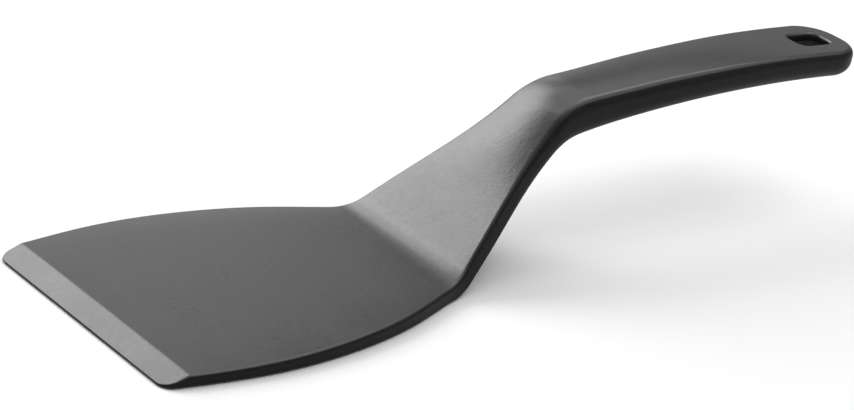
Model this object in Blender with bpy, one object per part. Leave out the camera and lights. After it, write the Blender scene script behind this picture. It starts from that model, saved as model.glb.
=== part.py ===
"""Angled turner: a wide bevelled blade, a rising neck and an arched grip.

The outside is one seamless moulding. Inside the grip it holds a core, whose eye
shows as a band half way down the hanging hole. Metres, +Z up, +X from the front
edge to the end of the grip, symmetric about Y = 0, with the origin on the flat
underside of the blade.
"""
import math

import bmesh
import bpy
import numpy as np
from mathutils import Vector

# Side elevation: how far the origin lies behind the front edge, and the runs between
# the points where the straight lines would meet if their bends were sharp
REST_POINT = 0.060
BLADE_LENGTH = 0.1204
NECK_REACH = 0.0514
ARCH_REACH = 0.0609
TAIL_REACH = 0.0673
NECK_ANGLE = 41.7
GRIP_RISE = 4.9
GRIP_FALL = 2.9

# Thicknesses, the last three measured straight down at those meeting points
EDGE_THICKNESS = 0.0006
FRONT_THICKNESS = 0.0033
HEEL_THICKNESS = 0.0051
BEND_DEPTH = 0.0143
ARCH_DEPTH = 0.0094
END_DEPTH = 0.0097
BEVEL_LENGTH = 0.0085

# Bend radii in side elevation, and how far the top line's corner at the heel stands
# before the underside's
TOP_HEEL_SHIFT = 0.0013
TOP_HEEL_RADIUS = 0.0155
UNDER_HEEL_RADIUS = 0.0138
TOP_BEND_RADIUS = 0.0258
UNDER_BEND_RADIUS = 0.0240
TOP_ARCH_RADIUS = 0.435
UNDER_ARCH_RADIUS = 0.515

# Widths, and where along the middle line each one is reached
FRONT_WIDTH = 0.0960
BLADE_WIDTH = 0.1045
SIDE_WIDTH = 0.0974
SHOULDER_WIDTH = 0.0833
HEEL_WIDTH = 0.0658
NECK_WIDTH = 0.0488
BEND_WIDTH = 0.0344
WAIST_WIDTH = 0.0270
GRIP_WIDTH = 0.0261
END_WIDTH = 0.0297
WIDEST_FROM_FRONT = 0.0380
SIDE_BEFORE_HEEL = 0.0486
SHOULDER_BEFORE_HEEL = 0.0246
HEEL_WIDTH_BEFORE_HEEL = 0.0046
NECK_AFTER_HEEL = 0.0194
BEND_WIDTH_BEFORE_BEND = 0.0232
WAIST_BEFORE_BEND = 0.0032
GRIP_AFTER_BEND = 0.0298

# Plan radii of the two front corners and of the two end corners
CORNER_RADIUS = 0.0043
END_RADIUS = 0.0126

# Crown of the top face and rounding of the long edges
BLADE_CROWN = 0.00005
GRIP_CROWN = 0.0016
EYE_CROWN = 0.00005
BLADE_TOP_ROUND = 0.0007
BLADE_UNDER_ROUND = 0.0006
GRIP_TOP_ROUND = 0.0032
EYE_TOP_ROUND = 0.0026
GRIP_UNDER_ROUND = 0.0050
TOP_ROUND_SHARE = 0.30
FLAT_WALL_SHARE = 0.15

# Where the grip's crown is full, and the stretch in which the flatter eye takes over
CROWN_FULL_AFTER_BEND = 0.010
EYE_STARTS_FROM_END = 0.080
EYE_FULL_FROM_END = 0.020

# Hanging hole
HOLE_LENGTH = 0.0141
HOLE_WIDTH = 0.0102
HOLE_CORNER = 0.0030
HOLE_FROM_END = 0.0150
HOLE_RIM = 0.0011

# Core of the grip
SKIN = 0.0028
CLEARANCE = 0.0003
CORE_AFTER_BEND = 0.006
CORE_NOSE_RADIUS = 0.0060
CORE_EDGE_ROUND = 0.0006

# How finely the shapes are divided
LINE_STEP = 0.00025
COLUMNS = 8
ROUND_STEPS = 3
CORNER_STEPS = 8
HOLE_STEPS = 5
RIM_STEPS = 3
BEVEL_ROWS = 1
BLADE_ROWS = 8
HEEL_ROWS = 8
NECK_ROWS = 5
BEND_ROWS = 8
GRIP_ROWS = 12
CORE_ROWS = 14
SHARP_ANGLE = 30.0
MERGE_DISTANCE = 1e-6

BODY_COLOUR = (0.035, 0.035, 0.036, 1.0)
BODY_ROUGHNESS = 0.42
CORE_COLOUR = (0.060, 0.058, 0.056, 1.0)
CORE_ROUGHNESS = 0.55


def clear_scene():
    for old in list(bpy.data.objects):
        bpy.data.objects.remove(old)


def rounded_line(corners, radii):
    """Points, headings and distances along straight runs joined by arcs."""
    corners = [np.array(corner, dtype=float) for corner in corners]
    runs = [b - a for a, b in zip(corners[:-1], corners[1:])]
    lengths = [float(np.hypot(*run)) for run in runs]
    angles = [math.atan2(run[1], run[0]) for run in runs]
    turns = [b - a for a, b in zip(angles[:-1], angles[1:])]
    reaches = [r * math.tan(abs(turn) / 2) for r, turn in zip(radii, turns)]
    for i, length in enumerate(lengths):
        before = reaches[i - 1] if i > 0 else 0.0
        after = reaches[i] if i < len(reaches) else 0.0
        share = min(1.0, length / max(before + after, MERGE_DISTANCE))
        if i > 0:
            reaches[i - 1] *= share
        if i < len(reaches):
            reaches[i] *= share
    points, headings, travel = [corners[0]], [angles[0]], [0.0]

    def advance(length, turn):
        start, heading, at = points[-1], headings[-1], travel[-1]
        steps = max(1, math.ceil(length / LINE_STEP))
        for step in range(1, steps + 1):
            part = step / steps
            chord = length * part * np.sinc(turn * part / 2 / math.pi)
            mean = heading + turn * part / 2
            points.append(start + chord * np.array([math.cos(mean), math.sin(mean)]))
            headings.append(heading + turn * part)
            travel.append(at + length * part)

    for i, length in enumerate(lengths):
        before = reaches[i - 1] if i > 0 else 0.0
        after = reaches[i] if i < len(reaches) else 0.0
        if length - before - after > MERGE_DISTANCE:
            advance(length - before - after, 0.0)
        if i < len(turns) and reaches[i] > 0:
            radius = reaches[i] / math.tan(abs(turns[i]) / 2)
            advance(radius * abs(turns[i]), turns[i])
        elif i < len(turns):
            headings[-1] = angles[i + 1]
    return np.array(points), np.array(headings), np.array(travel)


def side_corners():
    """Corner points of the top line and of the underside line."""
    heel = BLADE_LENGTH
    bend = heel + NECK_REACH
    arch = bend + ARCH_REACH
    end = arch + TAIL_REACH
    bend_z = HEEL_THICKNESS + NECK_REACH * math.tan(math.radians(NECK_ANGLE))
    arch_z = bend_z + ARCH_REACH * math.tan(math.radians(GRIP_RISE))
    end_z = arch_z - TAIL_REACH * math.tan(math.radians(GRIP_FALL))
    top = [(0, FRONT_THICKNESS), (heel - TOP_HEEL_SHIFT, HEEL_THICKNESS), (bend, bend_z),
           (arch, arch_z), (end, end_z)]
    under = [(0, 0), (heel, 0), (bend, bend_z - BEND_DEPTH), (arch, arch_z - ARCH_DEPTH),
             (end, end_z - END_DEPTH)]
    return top, under


def smooth_curve(places, values):
    """A natural cubic spline through the values, as a function of distance."""
    places = np.array(places, dtype=float)
    values = np.array(values, dtype=float)
    gaps = np.diff(places)
    rises = np.diff(values) / gaps
    count = len(places)
    matrix = np.eye(count)
    right = np.zeros(count)
    for i in range(1, count - 1):
        matrix[i, i - 1:i + 2] = gaps[i - 1], 2 * (gaps[i - 1] + gaps[i]), gaps[i]
        right[i] = 6 * (rises[i] - rises[i - 1])
    bends = np.linalg.solve(matrix, right)

    def value(at):
        i = int(np.clip(np.searchsorted(places, at) - 1, 0, count - 2))
        a, b, gap = places[i + 1] - at, at - places[i], gaps[i]
        cubic = (bends[i] * a**3 + bends[i + 1] * b**3) / (6 * gap)
        left = values[i] / gap - bends[i] * gap / 6
        return cubic + left * a + (values[i + 1] / gap - bends[i + 1] * gap / 6) * b

    return value


def ease(at, start, stop):
    """0 before start, 1 after stop, with a smooth run between them."""
    part = min(1.0, max(0.0, (at - start) / (stop - start)))
    return part * part * (3 - 2 * part)


def blend(first, second, share):
    return first + (second - first) * share


def distance_to(line, point, heading):
    """How far a line lies from a point, measured square to the heading."""
    along = np.array([math.cos(heading), math.sin(heading)])
    across = np.array([-along[1], along[0]])
    forward = (line - point) @ along
    upward = (line - point) @ across
    crossings = np.where(forward[:-1] * forward[1:] <= 0)[0]
    if len(crossings) == 0:
        return float(upward[np.argmin(abs(forward))])
    i = crossings[np.argmin(abs(upward[crossings]))]
    share = forward[i] / (forward[i] - forward[i + 1]) if forward[i] != forward[i + 1] else 0.0
    return float(upward[i] + share * (upward[i + 1] - upward[i]))


TOP_CORNERS, UNDER_CORNERS = side_corners()
MIDDLE_CORNERS = [tuple((np.array(a) + np.array(b)) / 2) for a, b in zip(TOP_CORNERS, UNDER_CORNERS)]
TOP_RADII = (TOP_HEEL_RADIUS, TOP_BEND_RADIUS, TOP_ARCH_RADIUS)
UNDER_RADII = (UNDER_HEEL_RADIUS, UNDER_BEND_RADIUS, UNDER_ARCH_RADIUS)
MIDDLE_RADII = [(a + b) / 2 for a, b in zip(TOP_RADII, UNDER_RADII)]
TOP_LINE = rounded_line(TOP_CORNERS, TOP_RADII)[0]
UNDER_LINE = rounded_line(UNDER_CORNERS, UNDER_RADII)[0]
MIDDLE_LINE, HEADINGS, TRAVEL = rounded_line(MIDDLE_CORNERS, MIDDLE_RADII)
ABOVE = np.array([distance_to(TOP_LINE, p, h) for p, h in zip(MIDDLE_LINE, HEADINGS)])
BELOW = np.array([distance_to(UNDER_LINE, p, h) for p, h in zip(MIDDLE_LINE, HEADINGS)])
TOTAL = float(TRAVEL[-1])


def travel_to(reach):
    """Distance along the middle line at which it lies this far behind the front edge."""
    return float(np.interp(reach, MIDDLE_LINE[:, 0], TRAVEL))


HEEL_PLACE = travel_to(BLADE_LENGTH)
BEND_PLACE = travel_to(BLADE_LENGTH + NECK_REACH)
HOLE_PLACE = TOTAL - HOLE_FROM_END
PLAN_HALF = smooth_curve(
    (0.0, WIDEST_FROM_FRONT, HEEL_PLACE - SIDE_BEFORE_HEEL, HEEL_PLACE - SHOULDER_BEFORE_HEEL,
     HEEL_PLACE - HEEL_WIDTH_BEFORE_HEEL, HEEL_PLACE + NECK_AFTER_HEEL,
     BEND_PLACE - BEND_WIDTH_BEFORE_BEND, BEND_PLACE - WAIST_BEFORE_BEND,
     BEND_PLACE + GRIP_AFTER_BEND, TOTAL),
    [width / 2 for width in (FRONT_WIDTH, BLADE_WIDTH, SIDE_WIDTH, SHOULDER_WIDTH, HEEL_WIDTH,
                             NECK_WIDTH, BEND_WIDTH, WAIST_WIDTH, GRIP_WIDTH, END_WIDTH)])


def top_height(at):
    """Height of the top face over the middle line, down the bevel at the front."""
    full = float(np.interp(at, TRAVEL, ABOVE))
    below = float(np.interp(at, TRAVEL, BELOW))
    bevel = below + EDGE_THICKNESS + (full - below - EDGE_THICKNESS) * at / BEVEL_LENGTH
    return min(full, bevel)


def under_height(at):
    return float(np.interp(at, TRAVEL, BELOW))


def eye_share(at):
    """How far the flatter section round the hanging hole has taken over."""
    return ease(at, TOTAL - EYE_STARTS_FROM_END, TOTAL - EYE_FULL_FROM_END)


def crown(at):
    """Height of the top face's middle over its edges."""
    rising = ease(at, HEEL_PLACE, BEND_PLACE + CROWN_FULL_AFTER_BEND)
    return blend(blend(BLADE_CROWN, GRIP_CROWN, rising), EYE_CROWN, eye_share(at))


def edge_rounds(at, inset):
    """Radii of the top and the underside edge, kept within the wall's height."""
    share = ease(at, HEEL_PLACE, BEND_PLACE)
    top = blend(blend(BLADE_TOP_ROUND, GRIP_TOP_ROUND, share), EYE_TOP_ROUND, eye_share(at))
    under = blend(BLADE_UNDER_ROUND, GRIP_UNDER_ROUND, share)
    if inset > 0:
        top = max(top - inset, CORE_EDGE_ROUND)
        under = max(under - inset, CORE_EDGE_ROUND)
    wall = top_height(at) - under_height(at) - 2 * inset - crown(at)
    top = min(top, wall * TOP_ROUND_SHARE)
    return top, min(under, wall * (1 - FLAT_WALL_SHARE) - top)


def slope(at):
    step = LINE_STEP
    return (PLAN_HALF(at + step) - PLAN_HALF(at - step)) / (2 * step)


def outline(start, stop, inset, start_radius, stop_radius, places):
    """Half of the plan outline: distance, half width and outward direction."""
    rows = []
    turns = [math.pi / 2 * i / CORNER_STEPS for i in range(CORNER_STEPS + 1)]
    for turn in turns:
        at = start + start_radius * (1 - math.cos(turn))
        half = PLAN_HALF(at) - inset - start_radius * (1 - math.sin(turn))
        run = start_radius * math.sin(turn)
        rows.append((at, half, run, slope(at) * run + start_radius * math.cos(turn)))
    for at in places:
        if start + start_radius < at < stop - stop_radius:
            rows.append((at, PLAN_HALF(at) - inset, 1.0, slope(at)))
    for turn in reversed(turns):
        at = stop - stop_radius * (1 - math.cos(turn))
        half = PLAN_HALF(at) - inset - stop_radius * (1 - math.sin(turn))
        run = stop_radius * math.sin(turn)
        rows.append((at, half, run, slope(at) * run - stop_radius * math.cos(turn)))
    result = []
    for at, half, run, rise in rows:
        size = math.hypot(run, rise)
        result.append((at, half, -rise / size, run / size))
    return result


def world(at, y, height):
    """A point given by distance, Y and height over the middle line."""
    x = float(np.interp(at, TRAVEL, MIDDLE_LINE[:, 0])) - REST_POINT
    z = float(np.interp(at, TRAVEL, MIDDLE_LINE[:, 1]))
    heading = float(np.interp(at, TRAVEL, HEADINGS))
    return Vector((x - math.sin(heading) * height, y, z + math.cos(heading) * height))


def edge_profile(at, half, out_s, out_y, side, inset):
    """Points from the top face, round its edge, down the wall and under."""
    top_round, under_round = edge_rounds(at, inset)
    angles = [math.pi / 2 * i / ROUND_STEPS for i in range(ROUND_STEPS + 1)]
    points = []
    for radius, order, base in ((top_round, angles, 1), (under_round, angles[::-1], -1)):
        for angle in order:
            back = radius * (1 - math.sin(angle))
            s = at - back * out_s
            y = half - back * out_y
            sink = radius * (1 - math.cos(angle))
            if base > 0:
                height = top_height(s) - inset - crown(s) * (y / PLAN_HALF(s))**2 - sink
            else:
                height = under_height(s) + inset + sink
            points.append((s, side * y, height))
    return points


def add_grid(mesh, rows):
    """Faces between rows of points given as distance, Y and height."""
    grid = [[mesh.verts.new(world(*point)) for point in row] for row in rows]
    for first, second in zip(grid[:-1], grid[1:]):
        for i in range(len(first) - 1):
            mesh.faces.new((first[i], first[i + 1], second[i + 1], second[i]))


def moulded_solid(name, start, stop, inset, start_radius, stop_radius, places):
    """A closed solid whose faces lie a set distance inside the outer shape."""
    rows = outline(start, stop, inset, start_radius, stop_radius, places)
    mesh = bmesh.new()
    left = [edge_profile(*row, 1, inset) for row in rows]
    right = [edge_profile(*row, -1, inset) for row in rows]
    shares = [1 - 2 * i / COLUMNS for i in range(COLUMNS + 1)]
    top_rows, under_rows = [], []
    for profile in left:
        s, y, _ = profile[0]
        flat = [(s, y * share) for share in shares]
        top_rows.append([(s, p, top_height(s) - inset - crown(s) * (p / PLAN_HALF(s))**2)
                         for s, p in flat])
        s, y, height = profile[-1]
        under_rows.append([(s, y * share, height) for share in shares])
    add_grid(mesh, top_rows)
    add_grid(mesh, under_rows)
    add_grid(mesh, left)
    add_grid(mesh, right)
    for at, half, out_s, _ in (rows[0], rows[-1]):
        add_grid(mesh, [edge_profile(at, half * share, out_s, 0.0, 1, inset) for share in shares])
    bmesh.ops.remove_doubles(mesh, verts=mesh.verts, dist=MERGE_DISTANCE)
    bmesh.ops.recalc_face_normals(mesh, faces=mesh.faces)
    return finish(name, mesh)


def finish(name, mesh):
    data = bpy.data.meshes.new(name)
    mesh.to_mesh(data)
    mesh.free()
    item = bpy.data.objects.new(name, data)
    bpy.context.scene.collection.objects.link(item)
    return item


def as_cutter(item):
    item.hide_render = True
    item.display_type = "WIRE"
    return item


def cut(target, cutter):
    modifier = target.modifiers.new("cut by " + cutter.name, "BOOLEAN")
    modifier.operation = "DIFFERENCE"
    modifier.solver = "EXACT"
    modifier.object = cutter


def row_places():
    """Distances of the rows, closest together where the side line bends."""
    heel_reach = TOP_HEEL_RADIUS * math.tan(math.radians(NECK_ANGLE) / 2)
    bend_reach = UNDER_BEND_RADIUS * math.tan(math.radians(NECK_ANGLE - GRIP_RISE) / 2)
    stops = (CORNER_RADIUS, BEVEL_LENGTH, HEEL_PLACE - heel_reach, HEEL_PLACE + heel_reach,
             BEND_PLACE - bend_reach, BEND_PLACE + bend_reach, TOTAL - END_RADIUS)
    counts = (BEVEL_ROWS, BLADE_ROWS, HEEL_ROWS, NECK_ROWS, BEND_ROWS, GRIP_ROWS)
    places = []
    for first, last, count in zip(stops[:-1], stops[1:], counts):
        places += [first + (last - first) * i / count for i in range(count)]
    return places


def rounded_rectangle(length, width, corner):
    """Points round a rectangle with round corners, centred on the origin."""
    points = []
    for quarter in range(4):
        turn = math.pi / 2 * quarter
        sign_x = 1 if quarter in (0, 3) else -1
        sign_y = 1 if quarter in (0, 1) else -1
        centre_x = sign_x * (length / 2 - corner)
        centre_y = sign_y * (width / 2 - corner)
        for i in range(HOLE_STEPS + 1):
            angle = turn + math.pi / 2 * i / HOLE_STEPS
            points.append((centre_x + corner * math.cos(angle), centre_y + corner * math.sin(angle)))
    return points


def hole_solid():
    """The hanging hole as a solid, flared where it meets both faces."""
    top = top_height(HOLE_PLACE)
    under = under_height(HOLE_PLACE)
    levels = [(top + HOLE_RIM, HOLE_RIM)]
    levels += [(top - HOLE_RIM * (1 - math.cos(angle)), HOLE_RIM * (1 - math.sin(angle)))
               for angle in [math.pi / 2 * i / RIM_STEPS for i in range(RIM_STEPS + 1)]]
    levels += [(under + top - height, grow) for height, grow in reversed(levels)]
    mesh = bmesh.new()
    loops = []
    for height, grow in levels:
        shape = rounded_rectangle(HOLE_LENGTH + 2 * grow, HOLE_WIDTH + 2 * grow, HOLE_CORNER + grow)
        loops.append([mesh.verts.new(straight_out(x, y, height)) for x, y in shape])
    for first, second in zip(loops[:-1], loops[1:]):
        for i in range(len(first)):
            j = (i + 1) % len(first)
            mesh.faces.new((first[i], first[j], second[j], second[i]))
    mesh.faces.new(loops[0])
    mesh.faces.new(loops[-1])
    bmesh.ops.recalc_face_normals(mesh, faces=mesh.faces)
    return as_cutter(finish("hanging_hole", mesh))


def straight_out(x, y, height):
    """A point near the hole, in a frame that doesn't bend with the grip."""
    centre = world(HOLE_PLACE, 0.0, 0.0)
    up = (world(HOLE_PLACE, 0.0, 1.0) - centre).normalized()
    along = Vector((up.z, 0.0, -up.x))
    return centre + along * x + Vector((0.0, y, 0.0)) + up * height


def principled(name, colour, roughness):
    material = bpy.data.materials.new(name)
    material.use_nodes = True
    shader = material.node_tree.nodes["Principled BSDF"]
    shader.inputs["Base Color"].default_value = colour
    shader.inputs["Roughness"].default_value = roughness
    shader.inputs["Metallic"].default_value = 0.0
    return material


def shade(item, material):
    item.data.materials.append(material)
    item.data.shade_smooth()
    item.data.set_sharp_from_angle(angle=math.radians(SHARP_ANGLE))


def make_body(hole):
    body = moulded_solid("turner_body", 0.0, TOTAL, 0.0, CORNER_RADIUS, END_RADIUS, row_places())
    shade(body, principled("satin_black_polyamide", BODY_COLOUR, BODY_ROUGHNESS))
    pocket = as_cutter(core_shape("core_pocket", SKIN - CLEARANCE, CLEARANCE))
    cut(body, pocket)
    cut(body, hole)
    return body


def core_shape(name, inset, grow):
    """The core, or the pocket that it lies in when grown by the clearance."""
    start = BEND_PLACE + CORE_AFTER_BEND - grow
    stop = TOTAL - inset
    places = [start + (stop - start) * i / CORE_ROWS for i in range(CORE_ROWS)]
    return moulded_solid(name, start, stop, inset, CORE_NOSE_RADIUS + grow,
                         END_RADIUS - inset, places)


def make_core(hole):
    core = core_shape("handle_core", SKIN, 0.0)
    shade(core, principled("grey_core_polyamide", CORE_COLOUR, CORE_ROUGHNESS))
    cut(core, hole)
    return core


clear_scene()
HOLE = hole_solid()
make_body(HOLE)
make_core(HOLE)
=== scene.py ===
# %% [markdown]
# # An angled kitchen turner
# The object is one moulding of dark plastic: a wide flat blade with a bevelled front
# edge, a neck that rises from the heel, and an arched grip with a hanging hole. We load
# the imported solids first. They fix the size and place of everything that follows.

# %% Load the imported frame
import math

import bmesh
import bpy
import numpy as np
from mathutils import Matrix, Vector


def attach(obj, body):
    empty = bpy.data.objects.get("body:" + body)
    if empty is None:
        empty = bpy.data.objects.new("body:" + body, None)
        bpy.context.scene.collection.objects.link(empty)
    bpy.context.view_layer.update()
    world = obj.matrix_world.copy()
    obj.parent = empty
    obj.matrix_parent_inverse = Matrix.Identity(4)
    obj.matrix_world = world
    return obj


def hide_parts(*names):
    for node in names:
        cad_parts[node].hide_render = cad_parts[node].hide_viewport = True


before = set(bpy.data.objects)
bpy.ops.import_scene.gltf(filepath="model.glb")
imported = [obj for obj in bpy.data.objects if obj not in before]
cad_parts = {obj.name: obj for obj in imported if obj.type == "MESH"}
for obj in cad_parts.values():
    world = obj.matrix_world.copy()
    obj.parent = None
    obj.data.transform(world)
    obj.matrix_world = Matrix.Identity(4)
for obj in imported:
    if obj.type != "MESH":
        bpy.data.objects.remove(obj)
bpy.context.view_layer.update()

ROOT_BODY = "root"

# %% [markdown]
# ## The camera
# The photograph was taken with a long lens from the front left, above the blade, and
# the camera was rolled a little, so the grip climbs to the right. A camera looks down
# its own -Z, so we build its three axes from an azimuth, an elevation and a roll, and
# put them in the columns of its matrix. A Track To constraint would aim it more simply,
# but it can't roll. The focal length was measured in pixels, and the sensor width turns
# it into millimetres.

# %% Place the camera
PHOTO_WIDTH = 854
PHOTO_HEIGHT = 410
SENSOR_WIDTH = 36.0
FOCAL_PIXELS = 3260.0
VIEW_AZIMUTH = math.radians(-39.36)
VIEW_ELEVATION = math.radians(23.336)
VIEW_ROLL = math.radians(7.379)
VIEW_PLACE = Vector((-0.53615, -0.73579, 0.42768))
CLIP_START = 0.01


def camera_axes(azimuth, elevation, roll):
    """Right, up and back of a camera that looks along the other way of back."""
    back = Vector((math.sin(azimuth) * math.cos(elevation),
                   -math.cos(azimuth) * math.cos(elevation),
                   math.sin(elevation)))
    level = Vector((math.cos(azimuth), math.sin(azimuth), 0.0))
    upright = back.cross(level)
    right = math.cos(roll) * level + math.sin(roll) * upright
    up = math.cos(roll) * upright - math.sin(roll) * level
    return right, up, back


RIGHT, UP, BACK = camera_axes(VIEW_AZIMUTH, VIEW_ELEVATION, VIEW_ROLL)
camera_data = bpy.data.cameras.new("photo camera")
camera_data.sensor_width = SENSOR_WIDTH
camera_data.lens = FOCAL_PIXELS * SENSOR_WIDTH / PHOTO_WIDTH
camera_data.clip_start = CLIP_START
camera = bpy.data.objects.new("photo camera", camera_data)
camera.matrix_world = Matrix((RIGHT, UP, BACK)).transposed().to_4x4()
camera.location = VIEW_PLACE
bpy.context.scene.collection.objects.link(camera)
bpy.context.scene.camera = camera
print("lens:", round(camera_data.lens, 2), "mm for a frame of", PHOTO_WIDTH, "by", PHOTO_HEIGHT)

# %% [markdown]
# ## The side view in numbers
# A maker draws such a tool from the side first: two lines, one along the top and one
# along the underside, made of straight runs and round bends. One could also trace the
# outline by hand, but sizes can be changed one at a time. They are in metres and
# degrees, and distances count from the front edge. The radii are those of the heel, the
# bend and the arch. At the heel the top line turns up a little before the underside.

# %% Sizes of the side view
REST_POINT = 0.060
BLADE_LENGTH = 0.1204
NECK_REACH = 0.0514
ARCH_REACH = 0.0609
TAIL_REACH = 0.0673
NECK_ANGLE = 41.7
GRIP_RISE = 4.9
GRIP_FALL = 2.9
EDGE_THICKNESS = 0.0006
FRONT_THICKNESS = 0.0033
HEEL_THICKNESS = 0.0051
BEND_DEPTH = 0.0143
ARCH_DEPTH = 0.0094
END_DEPTH = 0.0097
BEVEL_LENGTH = 0.0085
TOP_RADII = (0.0155, 0.0258, 0.440)
TOP_HEEL_SHIFT = 0.0013
UNDER_RADII = (0.0138, 0.0240, 0.515)


def side_corners():
    """Corner points of the top line and of the underside line."""
    heel = BLADE_LENGTH
    bend = heel + NECK_REACH
    arch = bend + ARCH_REACH
    end = arch + TAIL_REACH
    bend_z = HEEL_THICKNESS + NECK_REACH * math.tan(math.radians(NECK_ANGLE))
    arch_z = bend_z + ARCH_REACH * math.tan(math.radians(GRIP_RISE))
    end_z = arch_z - TAIL_REACH * math.tan(math.radians(GRIP_FALL))
    top = [(0, FRONT_THICKNESS), (heel - TOP_HEEL_SHIFT, HEEL_THICKNESS), (bend, bend_z),
           (arch, arch_z), (end, end_z)]
    under = [(0, 0), (heel, 0), (bend, bend_z - BEND_DEPTH),
             (arch, arch_z - ARCH_DEPTH), (end, end_z - END_DEPTH)]
    return np.array(top, dtype=float), np.array(under, dtype=float)


TOP_CORNERS, UNDER_CORNERS = side_corners()
MIDDLE_CORNERS = (TOP_CORNERS + UNDER_CORNERS) / 2
MIDDLE_RADII = [(top + under) / 2 for top, under in zip(TOP_RADII, UNDER_RADII)]
print("corners of the middle line, mm:", np.round(MIDDLE_CORNERS * 1000, 1).tolist())

# %% [markdown]
# ## Straight runs joined by arcs
# Each line is walked in small steps: straight, then round the bend with its radius,
# then straight again. A curve with handles would only come close to an arc, and a mould
# is cut with true ones. The walk also keeps the heading and the distance travelled.
# The middle line is the spine of the shape, because every section stands square on it.

# %% Walk the lines
LINE_STEP = 0.00025
TINY = 1e-9


def rounded_line(corners, radii):
    """Points, headings and distances along straight runs joined by arcs."""
    runs = np.diff(corners, axis=0)
    lengths = np.hypot(runs[:, 0], runs[:, 1])
    angles = np.arctan2(runs[:, 1], runs[:, 0])
    turns = np.diff(angles)
    reaches = [radius * math.tan(abs(turn) / 2) for radius, turn in zip(radii, turns)]
    points, headings, travel = [corners[0]], [angles[0]], [0.0]

    def advance(length, turn):
        start, heading, at = points[-1], headings[-1], travel[-1]
        steps = max(1, math.ceil(length / LINE_STEP))
        for step in range(1, steps + 1):
            part = step / steps
            chord = length * part * np.sinc(turn * part / 2 / math.pi)
            mean = heading + turn * part / 2
            points.append(start + chord * np.array([math.cos(mean), math.sin(mean)]))
            headings.append(heading + turn * part)
            travel.append(at + length * part)

    for i, length in enumerate(lengths):
        before = reaches[i - 1] if i > 0 else 0.0
        after = reaches[i] if i < len(reaches) else 0.0
        advance(length - before - after, 0.0)
        if i < len(turns):
            advance(radii[i] * abs(turns[i]), turns[i])
    return np.array(points), np.array(headings), np.array(travel)


TOP_LINE = rounded_line(TOP_CORNERS, TOP_RADII)[0]
UNDER_LINE = rounded_line(UNDER_CORNERS, UNDER_RADII)[0]
MIDDLE_LINE, HEADINGS, TRAVEL = rounded_line(MIDDLE_CORNERS, MIDDLE_RADII)
TOTAL = float(TRAVEL[-1])
print("length along the middle line:", round(TOTAL * 1000, 2), "mm")


# %% [markdown]
# ## How thick the tool is at each place
# From a point of the middle line we look square up to the top line and square down to
# the underside line. The two distances give the thickness there, and they change
# smoothly from the thin blade to the deep bend.

# %% Measure the heights
def distance_to(line, point, heading):
    """How far a line lies from a point, measured square to the heading."""
    along = np.array([math.cos(heading), math.sin(heading)])
    across = np.array([-along[1], along[0]])
    forward = (line - point) @ along
    upward = (line - point) @ across
    crossings = np.where(forward[:-1] * forward[1:] <= 0)[0]
    if len(crossings) == 0:
        return float(upward[np.argmin(abs(forward))])
    i = crossings[np.argmin(abs(upward[crossings]))]
    span = forward[i] - forward[i + 1]
    share = forward[i] / span if abs(span) > TINY else 0.0
    return float(upward[i] + share * (upward[i + 1] - upward[i]))


ABOVE = np.array([distance_to(TOP_LINE, p, h) for p, h in zip(MIDDLE_LINE, HEADINGS)])
BELOW = np.array([distance_to(UNDER_LINE, p, h) for p, h in zip(MIDDLE_LINE, HEADINGS)])
print("thickness, mm: least", round(float((ABOVE - BELOW).min()) * 1000, 2),
      "most", round(float((ABOVE - BELOW).max()) * 1000, 2))

# %% [markdown]
# ## The plan view
# Seen from above, the blade is widest some way behind the front edge, narrows past the
# shoulders to the neck, and the grip swells again to its end. A spline through ten
# widths gives one flowing line, with no corner between blade and neck.

# %% Widths along the tool
HEEL_PLACE = float(np.interp(BLADE_LENGTH, MIDDLE_LINE[:, 0], TRAVEL))
BEND_PLACE = float(np.interp(BLADE_LENGTH + NECK_REACH, MIDDLE_LINE[:, 0], TRAVEL))
WIDTH_PLACES = np.array([0.0, 0.0380, HEEL_PLACE - 0.0486, HEEL_PLACE - 0.0246,
                         HEEL_PLACE - 0.0046, HEEL_PLACE + 0.0194, BEND_PLACE - 0.0232,
                         BEND_PLACE - 0.0032, BEND_PLACE + 0.0298, TOTAL])
WIDTHS = np.array([0.0960, 0.1043, 0.0974, 0.0833, 0.0658, 0.0488, 0.0344, 0.0270,
                   0.0261, 0.0297])


def smooth_curve(places, values, wanted):
    """A natural cubic spline through the values, read at the wanted places."""
    gaps = np.diff(places)
    rises = np.diff(values) / gaps
    count = len(places)
    matrix = np.eye(count)
    right = np.zeros(count)
    for i in range(1, count - 1):
        matrix[i, i - 1:i + 2] = gaps[i - 1], 2 * (gaps[i - 1] + gaps[i]), gaps[i]
        right[i] = 6 * (rises[i] - rises[i - 1])
    bends = np.linalg.solve(matrix, right)
    i = np.clip(np.searchsorted(places, wanted) - 1, 0, count - 2)
    after, before, gap = places[i + 1] - wanted, wanted - places[i], gaps[i]
    cubic = (bends[i] * after**3 + bends[i + 1] * before**3) / (6 * gap)
    left = values[i] / gap - bends[i] * gap / 6
    return cubic + left * after + (values[i + 1] / gap - bends[i + 1] * gap / 6) * before


print("blade", round(WIDTHS.max() * 1000, 1), "mm wide, waist",
      round(WIDTHS.min() * 1000, 1), "mm")

# %% [markdown]
# ## The rail
# Geometry Nodes will make the shape, and they need something to follow. The rail is a
# chain of points along the middle line, a quarter of a millimetre apart. Each point
# carries what the section needs there, as attributes: the heights of both faces, the
# half width, the crown of the top, the radii of the edges and the direction of the line.
#
# Two forms are so slight that only the gloss shows them. The neck swells by half a
# millimetre along its middle, and the margin of the blade rolls down a third of one.

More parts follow.
